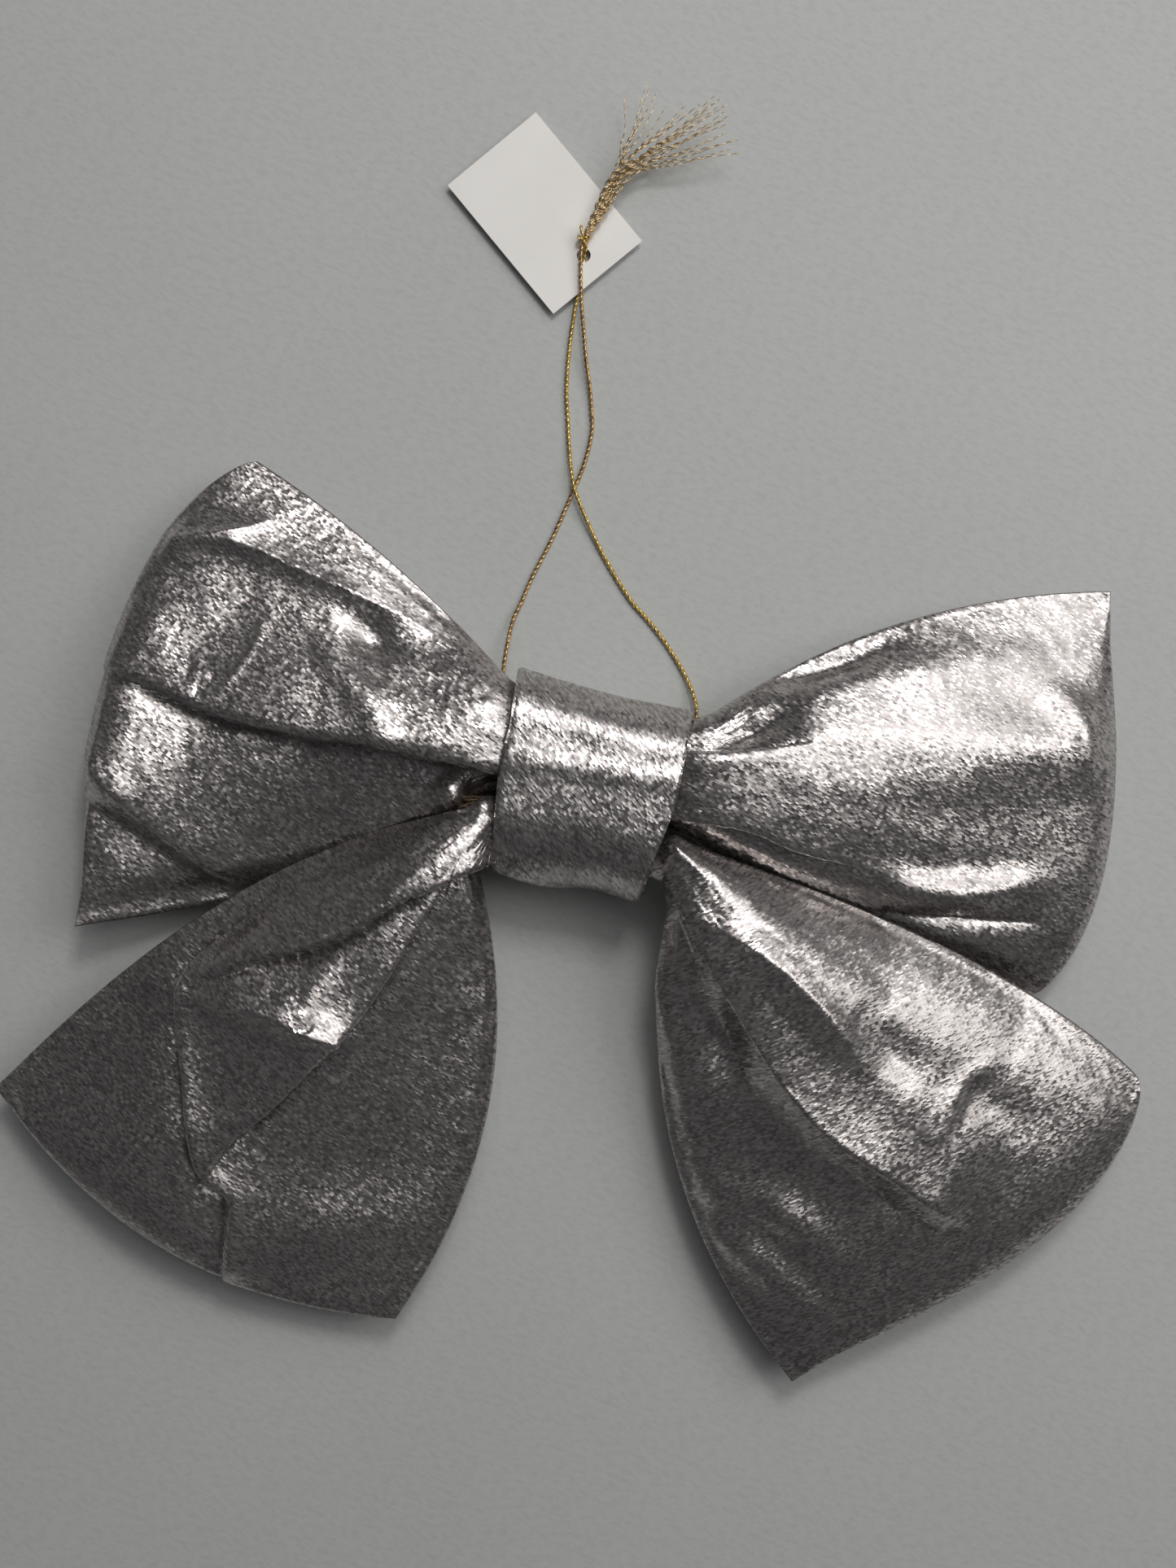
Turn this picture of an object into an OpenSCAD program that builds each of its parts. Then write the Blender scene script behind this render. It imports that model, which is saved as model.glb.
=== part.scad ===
// Pre-made padded gift bow with a corded hang tag, lying on its back.
// Origin: centre of the knot's flat back. +X right, +Y up the bow, +Z to the front. Millimetres.
// Four stuffed fabric wings are gathered at their inner ends, tied in pairs with thread and held
// by a padded knot band. A thin cord runs behind the gathers and carries the tag.

/* [Knot band] */
// Width of the band, along the bow
knot_width = 40; // [36:1:44]
// Height of the band, across the bow
knot_height = 46; // [44:1:50]
// Depth of the band, back to front
knot_depth = 30; // [28:1:32]
// Turn of the knot on the bow, in degrees
knot_turn = -11; // [-15:1:-7]
// Thickness of the band's fabric and interlining
band_wall = 1.1; // [1:0.1:1.5]
// Thickness of the wadding under the band
band_wadding = 1.8; // [1:0.1:2]

/* [Wings] */
// Half the thickness of the upper wings' gathered ends
upper_gather_depth = 10.8; // [10:0.1:10.8]
// Half the thickness of the lower wings' gathered ends
lower_gather_depth = 9.4; // [8.5:0.1:9.4]
// Height of a wing's outer fold above the back
fold_rise = 10; // [8:0.5:12]
// Half the thickness of a wing beside its outer fold
fold_depth = 7; // [5:0.5:8]
// Extra loft of the front of a wing at its middle
front_loft = 10; // [6:0.5:12]
// Extra loft of the back of a wing at its middle
back_loft = 6; // [3:0.5:8]
// Thickness of the cover fabric and its seam allowance
cover_wall = 0.8; // [0.6:0.1:1]
// Half the height of the seam along a wing's long edges
seam_half = 0.4; // [0.3:0.1:0.6]

/* [Upper wings] */
// Left wing, outer top corner, across
upper_left_top_x = -75; // [-78:0.5:-72]
// Left wing, outer top corner, up
upper_left_top_y = 72; // [69:0.5:75]
// Left wing, outer bottom corner, across
upper_left_low_x = -114; // [-117:0.5:-111]
// Left wing, outer bottom corner, up
upper_left_low_y = -31; // [-32:0.5:-28]
// Left wing, outward bow of its top edge, outer fold and bottom edge
upper_left_bows = [2.5, 15, -4]; // [-5:0.5:16]
// Right wing, outer top corner, across
upper_right_top_x = 117; // [114:0.5:120]
// Right wing, outer top corner, up
upper_right_top_y = 43.5; // [41:0.5:46]
// Right wing, outer bottom corner, across
upper_right_low_x = 98; // [95:0.5:101]
// Right wing, outer bottom corner, up
upper_right_low_y = -46; // [-46:0.5:-42]
// Right wing, outward bow of its top edge, outer fold and bottom edge
upper_right_bows = [7, 11, -3]; // [-5:0.5:14]

/* [Lower wings] */
// Left wing, outer top corner, across
lower_left_top_x = -133; // [-136:0.5:-130]
// Left wing, outer top corner, up
lower_left_top_y = -68; // [-71:0.5:-65]
// Left wing, outer bottom corner, across
lower_left_low_x = -43.5; // [-46:0.5:-41]
// Left wing, outer bottom corner, up
lower_left_low_y = -119.5; // [-122:0.5:-117]
// Left wing, outward bow of its top edge, outer fold and bottom edge
lower_left_bows = [10, 12, 12]; // [8:0.5:14]
// Right wing, outer top corner, across
lower_right_top_x = 123; // [120:0.5:126]
// Right wing, outer top corner, up
lower_right_top_y = -66; // [-69:0.5:-63]
// Right wing, outer bottom corner, across
lower_right_low_x = 45.5; // [43:0.5:48]
// Right wing, outer bottom corner, up
lower_right_low_y = -133.5; // [-136:0.5:-131]
// Right wing, outward bow of its top edge, outer fold and bottom edge
lower_right_bows = [6, 13, 13]; // [4:0.5:14]

/* [Cord and tag] */
// Diameter of the metallic cord
cord_d = 1; // [0.8:0.1:1]
// Width of the tag
tag_width = 26.5; // [24:0.5:28]
// Length of the tag
tag_length = 38.5; // [36:0.5:42]
// Thickness of the tag's card
tag_card = 0.4; // [0.3:0.05:0.5]
// Diameter of the hole in the tag
tag_hole_d = 3.2; // [3:0.1:4]
// Turn of the tag as it lies, in degrees
tag_turn = 39.5; // [30:0.5:45]

/* [Hidden] */

// Knot, in its own frame: u across the band's width, v across its height
knot_z = knot_depth / 2;
knot_flat = (knot_height - knot_depth) / 2;
band_inner_r = knot_z - band_wall;
wadding_gap = 0.1;
wadding_outer_r = band_inner_r - wadding_gap;
wadding_inner_r = wadding_outer_r - band_wadding;
wadding_inset = 1;

// Gathered ends inside the knot: [low and high along v, height of the middle, half thickness]
upper_gather = [-6.8, 19, knot_z + 0.8, upper_gather_depth];
lower_gather = [-18.4, -7.2, knot_z + 0.2, lower_gather_depth];
gather_x = knot_width / 2 + 0.6;
gather_stations = [0.15, 2.4, 6, 11, 16];
gather_fabric = 3.2;
waist_x = 2.4;
waist_squeeze = 0.8;

// Gathering thread: turns round each pair's waist
thread_turns = 4;
thread_w = 0.6;
thread_pitch = 1.1;
thread_gap = 0.15;

// Stitches that close the band at the back
stitch_count = 7;
stitch_pitch = 5;
stitch_r = 0.2;
stitch_length = 2.6;
stitch_v = 4.5;
groove_w = 3.4;
groove_depth = 0.5;

// Surface of a wing: rings along it, steps across it and the fullness of its section
rings = 13;
ring_crowding = 1.5;
across = 12;
crown_power = 2.4;
fold_start = 0.88;
// Part of each edge beside the knot that has no bow
knot_lead = 0.045;
// Margin of an inner surface along the edges, in wall thicknesses
edge_margin = 2.2;
wadding_slack = 0.5;
wadding_start = 0.05;

// Where each edge bows most: top edge, outer fold, bottom edge
upper_left_peaks = [0.5, 0.63, 0.35];
upper_right_peaks = [0.5, 0.35, 0.5];
lower_left_peaks = [0.45, 0.5, 0.5];
lower_right_peaks = [0.6, 0.65, 0.5];

// Cord: its section, and the gap that each strand's hinge needs
cord_r = cord_d / 2;
cord_sides = 8;
hinge_clearance = 0.7;

// Tag: its hole, and how it lies around the hole
tag_hole = [-1, 122];
tag_z = 1.5;
tag_side = 14;
tag_head = 6;

// Knot of the cord and its frayed ends
cord_knot_at = [-1, 125, 3.6];
cord_knot_ring_r = 1;
tassel_neck = [7, 139, 4.6];
tassel_neck_r = 1.5;
tassel_tip_r = 0.7;
tassel_tips = [[8.5, 160, 6], [15, 162, 7], [29, 158.5, 8.5], [33, 154, 8.5], [35, 146.5, 7.5]];

// Route of the cord through the knot, in the knot's frame, from the left exit to the right
cord_in_knot_route = [
    [-24.4, 29.2, 2.5], [-24.3, 24, 2.6], [-23.8, 19, 2.9], [-23.1, 14.5, 3.3],
    [-21.4, 10.6, 3.8], [-18, 8.5, 4.1], [-12, 8, 4.2], [0, 8, 4.2], [12, 8, 4.2],
    [18, 8.6, 4.1], [21.2, 11.4, 3.6], [21.9, 16.5, 3], [21.2, 21.8, 2.5]
];
// Route of the left strand, from its exit over the tag to the cord's knot
left_strand_route = [
    [-18.4, 33.3, 2.5], [-17.3, 38, 1.4], [-15.4, 42.2, 0.7], [-12.9, 48, 0.55],
    [-8.2, 57.1, 0.55], [-3.3, 68.2, 0.55], [-0.6, 75, 0.55], [0.9, 81.8, 0.55], [0.8, 86, 0.55],
    [0.4, 91.6, 1], [-0.5, 98, 2], [-1, 104, 2.75], [-1.5, 110, 2.9], [-1.7, 116, 3],
    [-1.7, 121, 3.4], [-1.5, 123.9, 3.9]
];
// Route of the right strand, from its exit under the tag and up through the tag's hole
right_strand_route = [
    [25, 17.3, 2.5], [24.3, 20.5, 1.7], [22.4, 25.2, 0.8], [18.6, 31.6, 0.55],
    [14.2, 37.5, 0.55], [10.1, 42.2, 0.55], [6.3, 48, 0.55], [1.8, 56.3, 0.8],
    [-1.8, 64.4, 1.7], [-3.5, 69.5, 1.75], [-4.3, 76.7, 0.8], [-4.7, 84, 0.55],
    [-5, 91.6, 0.55], [-4.4, 100.3, 0.55], [-3.2, 109, 0.55], [-2, 115.5, 0.55],
    [-1.3, 119.4, 0.6], [-1, 121.4, 1.2], [-0.8, 122.6, 2.1], [-0.4, 123.9, 3.2]
];

FABRIC = [0.43, 0.40, 0.39];
BACKING = [0.36, 0.34, 0.33];
WADDING = [0.93, 0.93, 0.91];
THREAD = [0.30, 0.28, 0.27];
GOLD = [0.72, 0.58, 0.28];
CARD = [0.95, 0.95, 0.93];

// ---------- helpers ----------

function lerp(a, b, t) = a + (b - a) * t;
function side_of(d) = [-d.y, d.x] / norm(d);
function turned(p, a) = [p.x * cos(a) - p.y * sin(a), p.x * sin(a) + p.y * cos(a), p.z];

// 1 at the peak of a bow and 0 at both ends; a parabola where the peak is in the middle
function arch(t, peak) =
    t <= 0 || t >= 1 ? 0 :
    pow(t / peak, 2 * peak) * pow((1 - t) / (1 - peak), 2 * (1 - peak));

// A point on a bowed edge from a to b, whose bow starts at lead
function edge(a, b, bow, peak, t, lead = 0) =
    lerp(a, b, t) + side_of(b - a) * bow * arch((t - lead) / (1 - lead), peak);

// Joins rings of points into a closed solid, with each end closed by a strip of triangles
module loft(rows) {
    n = len(rows[0]);
    m = len(rows);
    skin = [for (i = [0:m - 2], j = [0:n - 1])
        let (a = i * n + j, b = i * n + (j + 1) % n)
        each [[a, b, b + n], [a, b + n, a + n]]];
    caps = [for (k = [0:n / 2 - 2])
        let (p = k, q = k + 1, r = n - 2 - k, s = n - 1 - k, e = (m - 1) * n)
        each [[p, r, q], [p, s, r], [e + p, e + q, e + r], [e + p, e + r, e + s]]];
    polyhedron(points = [for (row = rows) each row], faces = concat(skin, caps), convexity = 6);
}

// ---------- wings ----------

// A wing is [side, gather, outer top, outer bottom, bows, peaks]; side is -1 left and 1 right
upper_left = [-1, upper_gather, [upper_left_top_x, upper_left_top_y],
              [upper_left_low_x, upper_left_low_y], upper_left_bows, upper_left_peaks];
upper_right = [1, upper_gather, [upper_right_top_x, upper_right_top_y],
               [upper_right_low_x, upper_right_low_y], upper_right_bows, upper_right_peaks];
lower_left = [-1, lower_gather, [lower_left_top_x, lower_left_top_y],
              [lower_left_low_x, lower_left_low_y], lower_left_bows, lower_left_peaks];
lower_right = [1, lower_gather, [lower_right_top_x, lower_right_top_y],
               [lower_right_low_x, lower_right_low_y], lower_right_bows, lower_right_peaks];

function inner_corner(w, end) =
    let (p = turned([w[0] * gather_x, w[1][end], 0], knot_turn)) [p.x, p.y];

// Plan of a wing: u runs from the knot to the outer fold, v from the bottom edge to the top
function wing_plan(w, u, v) =
    let (side = w[0], low = inner_corner(w, 0), high = inner_corner(w, 1),
         top_edge = edge(high, w[2], side * w[4][0], w[5][0], u, knot_lead),
         fold = edge(w[3], w[2], -side * w[4][1], w[5][1], v),
         bottom_edge = edge(low, w[3], -side * w[4][2], w[5][2], u, knot_lead),
         flat = lerp(lerp(low, w[3], u), lerp(high, w[2], u), v))
    lerp(bottom_edge, top_edge, v) + lerp(lerp(low, high, v), fold, u) - flat;

function wing_width(w, u) = norm(wing_plan(w, u, 1) - wing_plan(w, u, 0));
function wing_length(w) = norm(w[2] - inner_corner(w, 1));
function crown(v) = sqrt(max(0, 1 - pow(abs(2 * v - 1), crown_power)));
function fold_round(u) = sqrt(max(0, 1 - pow(max(0, (u - fold_start) / (1 - fold_start)), 2)));
function seam_z(w, u) = lerp(w[1][2], fold_rise, u * u * (3 - 2 * u));
function loft_half(w, u, extra) =
    fold_round(u) * (lerp(w[1][3], fold_depth, u) + extra * arch(u, 0.45));

// Steps across a wing and along it, closer together at the edges, and with one at knot_lead
function step_v(j) = (1 - cos(180 * j / across)) / 2;
function step_u(i) =
    i == 0 ? 0 : 1 - (1 - knot_lead) * pow(1 - (i - 1) / (rings - 1), ring_crowding);

// Ring i of a wing between u = first and u = last, drawn in from the outside by inset
function wing_ring(w, i, first, last, inset) =
    let (u = step_u(i), at = lerp(first, last, u), z = seam_z(w, at),
         margin = edge_margin * inset / wing_width(w, at), seam = inset > 0 ? 0.05 : seam_half,
         front = max(0, loft_half(w, u, front_loft) - inset),
         back = max(0, loft_half(w, u, back_loft) - inset))
    concat(
        [for (j = [0:across])
            let (p = wing_plan(w, at, lerp(margin, 1 - margin, step_v(j))))
            [p.x, p.y, z + front * crown(step_v(j)) + seam]],
        [for (j = [across:-1:0])
            let (p = wing_plan(w, at, lerp(margin, 1 - margin, step_v(j))))
            [p.x, p.y, max(inset, z - back * crown(step_v(j)) - seam)]]);

// One ring of a gathered end, at distance x from the middle of the knot
function gather_ring(w, x, inset) =
    let (g = w[1], squeeze = lerp(waist_squeeze, 1, max(0, (x - waist_x) / (gather_x - waist_x))),
         mid = (g[0] + g[1]) / 2, half = (g[1] - g[0]) / 2 * squeeze - inset,
         depth = g[3] * squeeze - inset)
    concat(
        [for (j = [0:across]) let (v = step_v(j))
            turned([w[0] * x, mid + half * (2 * v - 1), g[2] + depth * crown(v) + 0.05], knot_turn)],
        [for (j = [across:-1:0]) let (v = step_v(j))
            turned([w[0] * x, mid + half * (2 * v - 1), g[2] - depth * crown(v) - 0.05], knot_turn)]);

// Rings from the middle of the knot out to the fold; the cavity narrows inside the gathers
function outer_rings(w) = concat(
    [for (x = gather_stations) gather_ring(w, x, 0)],
    [for (i = [0:rings]) wing_ring(w, i, 0, 1, 0)]);
function cavity_rings(w) = concat(
    [gather_ring(w, -1, gather_fabric)],
    [for (i = [1:len(gather_stations) - 1])
        let (x = gather_stations[i])
        gather_ring(w, x, lerp(gather_fabric, edge_margin * cover_wall, x / gather_x))],
    [for (i = [0:rings]) wing_ring(w, i, 0, 1 - edge_margin * cover_wall / wing_length(w), cover_wall)]);
function wadding_rings(w) =
    let (inset = cover_wall + wadding_slack)
    [for (i = [0:rings])
        wing_ring(w, i, wadding_start, 1 - edge_margin * inset / wing_length(w), inset)];

// Rings of a left wing run the other way round, so that its faces still point outward
function wound(w, rows) = w[0] > 0 ? rows : [for (i = [len(rows) - 1:-1:0]) rows[i]];

module wing_cover(w) {
    color(FABRIC) difference() {
        loft(wound(w, outer_rings(w)));
        loft(wound(w, cavity_rings(w)));
    }
}

module wing_wadding(w) {
    color(WADDING) loft(wound(w, wadding_rings(w)));
}

module upper_left_cover() wing_cover(upper_left);
module upper_right_cover() wing_cover(upper_right);
module lower_left_cover() wing_cover(lower_left);
module lower_right_cover() wing_cover(lower_right);
module upper_left_wadding() wing_wadding(upper_left);
module upper_right_wadding() wing_wadding(upper_right);
module lower_left_wadding() wing_wadding(lower_left);
module lower_right_wadding() wing_wadding(lower_right);

// ---------- knot ----------

// Puts children drawn in the plane of the band's section, x up the band and y to the front,
// at distance along from the middle of the knot
module across_knot(along) {
    rotate([0, 0, knot_turn]) translate([along, 0, 0]) rotate([90, 0, 90]) children();
}

// Outline of the band's section at radius r, flat at the back and front
module band_outline(r) {
    translate([-knot_flat, knot_z - r]) square([2 * knot_flat, 2 * r]);
    for (s = [-1, 1]) translate([s * knot_flat, knot_z]) circle(r, $fn = 96);
}

module knot_band() {
    color(FABRIC) difference() {
        across_knot(-knot_width / 2) linear_extrude(knot_width) difference() {
            band_outline(knot_z);
            band_outline(band_inner_r);
        }
        rotate([0, 0, knot_turn])
            translate([-knot_width / 2 - 1, stitch_v - groove_w / 2, -1])
                cube([knot_width + 2, groove_w, 1 + groove_depth]);
    }
}

module knot_wadding() {
    length = knot_width - 2 * wadding_inset;
    color(WADDING) across_knot(-length / 2) linear_extrude(length) difference() {
        band_outline(wadding_outer_r);
        band_outline(wadding_inner_r);
    }
}

// Short hand stitches across the closing seam, sunk in a groove in the band's back
module knot_stitches() {
    first = -(stitch_count - 1) / 2;
    color(THREAD) rotate([0, 0, knot_turn])
        for (i = [0:stitch_count - 1])
            translate([(first + i) * stitch_pitch, stitch_v, stitch_r + 0.05])
                rotate([90, 0, 20]) cylinder(h = stitch_length, r = stitch_r, center = true, $fn = 24);
}

// Outline of a tied waist, grown by more
module waist_outline(gather, more) {
    mid = (gather[0] + gather[1]) / 2;
    half = (gather[1] - gather[0]) / 2 * waist_squeeze + more;
    depth = gather[3] * waist_squeeze + more;
    rim = [for (j = [0:across]) [mid + half * (2 * step_v(j) - 1), depth * crown(step_v(j))]];
    front = [for (p = rim) [p.x, gather[2] + p.y]];
    back = [for (j = [across - 1:-1:1]) [rim[j].x, gather[2] - rim[j].y]];
    polygon(concat(front, back));
}

module gathering_thread(gather) {
    first = -(thread_turns - 1) / 2 * thread_pitch - thread_w / 2;
    color(THREAD) for (i = [0:thread_turns - 1])
        across_knot(first + i * thread_pitch) linear_extrude(thread_w) difference() {
            waist_outline(gather, thread_gap + thread_w);
            waist_outline(gather, thread_gap);
        }
}

module upper_gathering_thread() gathering_thread(upper_gather);
module lower_gathering_thread() gathering_thread(lower_gather);

// ---------- cord and tag ----------

// A point on the smooth curve through a route, at segment i and fraction t
function route_point(p, i, t) =
    let (a = p[max(0, i - 1)], b = p[i], c = p[i + 1], d = p[min(len(p) - 1, i + 2)])
    0.5 * (2 * b + (c - a) * t + (2 * a - 5 * b + 4 * c - d) * t * t + (3 * b - a - 3 * c + d) * t * t * t);

// The route's points with one more between each pair that is far apart
function cord_path(p) = [
    for (i = [0:len(p) - 2])
        let (steps = norm(p[i + 1] - p[i]) > 3.6 * cord_d ? 2 : 1)
        for (s = [0:steps - 1]) route_point(p, i, s / steps),
    p[len(p) - 1]];

// The route with its first or last point moved along it by gap, to leave room for the hinge
function trimmed(p, gap) = concat(
    [lerp(p[0], p[1], gap / norm(p[1] - p[0]))], [for (i = [1:len(p) - 1]) p[i]]);
function reversed(p) = [for (i = [len(p) - 1:-1:0]) p[i]];

// A round tube along a path that is never vertical
module cord(route) {
    p = cord_path(route);
    last = len(p) - 1;
    loft([for (i = [0:last])
        let (d = p[min(last, i + 1)] - p[max(0, i - 1)], t = d / norm(d),
             s = cross(t, [0, 0, 1]) / norm(cross(t, [0, 0, 1])), n = cross(s, t))
        [for (k = [0:cord_sides - 1])
            let (a = 360 * (k + 0.5) / cord_sides) p[i] + cord_r * (cos(a) * s - sin(a) * n)]]);
}

module cord_in_knot() {
    ends_free = reversed(trimmed(reversed(trimmed(cord_in_knot_route, 0.3)), 0.3));
    color(GOLD) rotate([0, 0, knot_turn]) cord(ends_free);
}

module cord_left_strand() {
    color(GOLD) cord(trimmed(left_strand_route, hinge_clearance));
}

module cord_right_strand() {
    color(GOLD) cord(trimmed(right_strand_route, hinge_clearance));
}

// Two crossed turns of the cord, pulled tight
module cord_knot() {
    color(GOLD) translate(cord_knot_at) for (tilt = [[90, 0, 20], [35, 60, 0]])
        rotate(tilt) rotate_extrude($fn = 48)
            translate([cord_knot_ring_r, 0]) circle(cord_r, $fn = 24);
}

// Bundle of frayed ends that opens into a flat fan
module cord_tassel() {
    color(GOLD) {
        hull() {
            translate(cord_knot_at + [0.9, 2, 0]) sphere(cord_r, $fn = 16);
            translate(tassel_neck) sphere(tassel_neck_r, $fn = 16);
        }
        hull() {
            translate(tassel_neck) sphere(tassel_neck_r, $fn = 16);
            for (tip = tassel_tips) translate(tip) sphere(tassel_tip_r, $fn = 12);
        }
    }
}

module hang_tag() {
    color(CARD) translate([tag_hole.x, tag_hole.y, tag_z]) difference() {
        rotate([0, 0, tag_turn]) translate([-tag_side, -tag_head, 0])
            cube([tag_width, tag_length, tag_card]);
        translate([0, 0, -1]) cylinder(h = tag_card + 2, d = tag_hole_d, $fn = 48);
    }
}

upper_left_cover();
upper_right_cover();
lower_left_cover();
lower_right_cover();
upper_left_wadding();
upper_right_wadding();
lower_left_wadding();
lower_right_wadding();
upper_gathering_thread();
lower_gathering_thread();
knot_band();
knot_wadding();
knot_stitches();
cord_in_knot();
cord_left_strand();
cord_right_strand();
cord_knot();
cord_tassel();
hang_tag();
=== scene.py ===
"""Looks of the padded gift bow: lame satin wings, a padded knot, a twisted gold cord and a blank card tag."""

import math
from types import SimpleNamespace

import bmesh
import bpy
import numpy as np
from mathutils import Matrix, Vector
from mathutils.bvhtree import BVHTree


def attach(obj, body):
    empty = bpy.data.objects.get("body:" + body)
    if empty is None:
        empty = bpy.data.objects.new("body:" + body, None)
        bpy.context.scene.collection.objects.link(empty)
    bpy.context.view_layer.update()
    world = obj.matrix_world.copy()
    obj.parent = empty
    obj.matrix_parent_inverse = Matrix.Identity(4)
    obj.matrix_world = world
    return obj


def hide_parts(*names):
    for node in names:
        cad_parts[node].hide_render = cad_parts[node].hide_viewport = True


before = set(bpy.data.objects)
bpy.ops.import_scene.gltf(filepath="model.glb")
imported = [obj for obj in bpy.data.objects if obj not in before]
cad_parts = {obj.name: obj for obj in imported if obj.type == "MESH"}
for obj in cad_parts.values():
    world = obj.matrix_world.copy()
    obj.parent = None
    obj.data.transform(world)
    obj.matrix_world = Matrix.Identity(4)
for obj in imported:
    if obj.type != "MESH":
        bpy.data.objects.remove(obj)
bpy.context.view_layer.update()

MM = 0.001

# ---------- camera, light and floor ----------

CAMERA_HEIGHT = 0.420
CAMERA_LENS = 41.6
LAMP_AIM = (0, 0, 0.01)
WORLD_BRIGHTNESS = 0.072


def make_camera():
    """A camera straight above the bow, as in the photograph."""
    data = bpy.data.cameras.new("camera")
    data.sensor_width = 36
    data.lens = CAMERA_LENS
    camera = bpy.data.objects.new("camera", data)
    camera.location = (0, 0, CAMERA_HEIGHT)
    bpy.context.scene.collection.objects.link(camera)
    bpy.context.scene.camera = camera


def area_light(name, place, size, power, colour):
    """A rectangular lamp that faces the bow."""
    data = bpy.data.lights.new(name, "AREA")
    data.shape = "RECTANGLE"
    data.size, data.size_y = size
    data.energy = power
    data.color = colour
    lamp = bpy.data.objects.new(name, data)
    lamp.location = place
    direction = Vector(LAMP_AIM) - Vector(place)
    lamp.rotation_euler = direction.to_track_quat("-Z", "Y").to_euler()
    bpy.context.scene.collection.objects.link(lamp)


def make_world(brightness):
    """An even, slightly cool surrounding."""
    world = bpy.data.worlds.new("studio")
    world.use_nodes = True
    background = world.node_tree.nodes["Background"]
    background.inputs["Color"].default_value = (0.96, 0.98, 1.0, 1)
    background.inputs["Strength"].default_value = brightness
    bpy.context.scene.world = world


make_camera()
bpy.context.scene.view_settings.view_transform = "Standard"
make_world(WORLD_BRIGHTNESS)
area_light("key_lamp", (0.20, 0.62, 0.90), (0.24, 0.24), 2.9, (1.0, 0.985, 0.965))
area_light("ceiling_panel", (0.45, 0.64, 1.05), (1.5, 1.4), 7.8, (1.0, 0.99, 0.98))
area_light("right_softbox", (0.66, 0.16, 0.62), (0.42, 0.42), 1.3, (1.0, 0.99, 0.97))

# ---------- materials ----------


class Nodes:
    """Builds one material's node tree with short calls."""

    def __init__(self, name):
        self.material = bpy.data.materials.new(name)
        self.material.use_nodes = True
        self.tree = self.material.node_tree
        self.shader = self.tree.nodes["Principled BSDF"]

    def add(self, kind, **settings):
        """A new node with some of its properties set."""
        node = self.tree.nodes.new(kind)
        for key, value in settings.items():
            setattr(node, key, value)
        return node

    def link(self, source, target):
        self.tree.links.new(source, target)

    def coordinates(self, scale=(1, 1, 1), turn=0.0):
        """Object coordinates turned about Z and then scaled."""
        source = self.add("ShaderNodeTexCoord").outputs["Object"]
        turned = self.add("ShaderNodeMapping")
        turned.inputs["Rotation"].default_value = (0, 0, turn)
        self.link(source, turned.inputs["Vector"])
        scaled = self.add("ShaderNodeMapping")
        scaled.inputs["Scale"].default_value = scale
        self.link(turned.outputs["Vector"], scaled.inputs["Vector"])
        return scaled.outputs["Vector"]

    def noise(self, vector, scale, detail, roughness, distortion=0.0):
        """A noise texture read at a vector."""
        node = self.add("ShaderNodeTexNoise")
        node.inputs["Scale"].default_value = scale
        node.inputs["Detail"].default_value = detail
        node.inputs["Roughness"].default_value = roughness
        node.inputs["Distortion"].default_value = distortion
        self.link(vector, node.inputs["Vector"])
        return node

    def ramp(self, value, *stops):
        """A colour ramp through (position, colour) stops."""
        node = self.add("ShaderNodeValToRGB")
        elements = node.color_ramp.elements
        while len(elements) < len(stops):
            elements.new(0.5)
        for element, (position, colour) in zip(elements, stops):
            element.position = position
            element.color = (*colour, 1)
        self.link(value, node.inputs["Fac"])
        return node.outputs["Color"]

    def mix(self, factor, a, b, blend="MIX"):
        """Mixes two colours; each of the three inputs is a value or a socket."""
        node = self.add("ShaderNodeMix", data_type="RGBA", blend_type=blend)
        for socket, value in ((node.inputs[0], factor), (node.inputs[6], a), (node.inputs[7], b)):
            if isinstance(value, bpy.types.NodeSocket):
                self.link(value, socket)
            elif isinstance(value, tuple):
                socket.default_value = (*value, 1)
            else:
                socket.default_value = value
        return node.outputs[2]

    def vector(self, operation, a, b=None, scale=None):
        """Vector maths on sockets or tuples."""
        node = self.add("ShaderNodeVectorMath", operation=operation)
        for socket, value in ((node.inputs[0], a), (node.inputs[1], b)):
            if isinstance(value, bpy.types.NodeSocket):
                self.link(value, socket)
            elif value is not None:
                socket.default_value = value
        if scale is not None:
            node.inputs["Scale"].default_value = scale
        return node.outputs["Vector"]

    def spread(self, value, low, high):
        """A value between 0 and 1 spread over the range from low to high."""
        node = self.add("ShaderNodeMapRange")
        node.inputs["To Min"].default_value = low
        node.inputs["To Max"].default_value = high
        self.link(value, node.inputs["Value"])
        return node.outputs["Result"]

    def bump(self, height, distance, strength):
        """A normal that follows a height."""
        node = self.add("ShaderNodeBump")
        node.inputs["Distance"].default_value = distance
        node.inputs["Strength"].default_value = strength
        self.link(height, node.inputs["Height"])
        return node.outputs["Normal"]


DASH_LENGTH = 0.85 * MM
DASH_PITCH = 0.38 * MM
DASH_SCATTER = 0.5
DASH_TILT = 0.21
DASH_SHADES = (0.60, 1.30)
DASH_ROUGHNESS = (0.22, 0.36)
WING_TONE = (0.52, 0.485, 0.475)
KNOT_TONE = (0.56, 0.525, 0.515)


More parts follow.
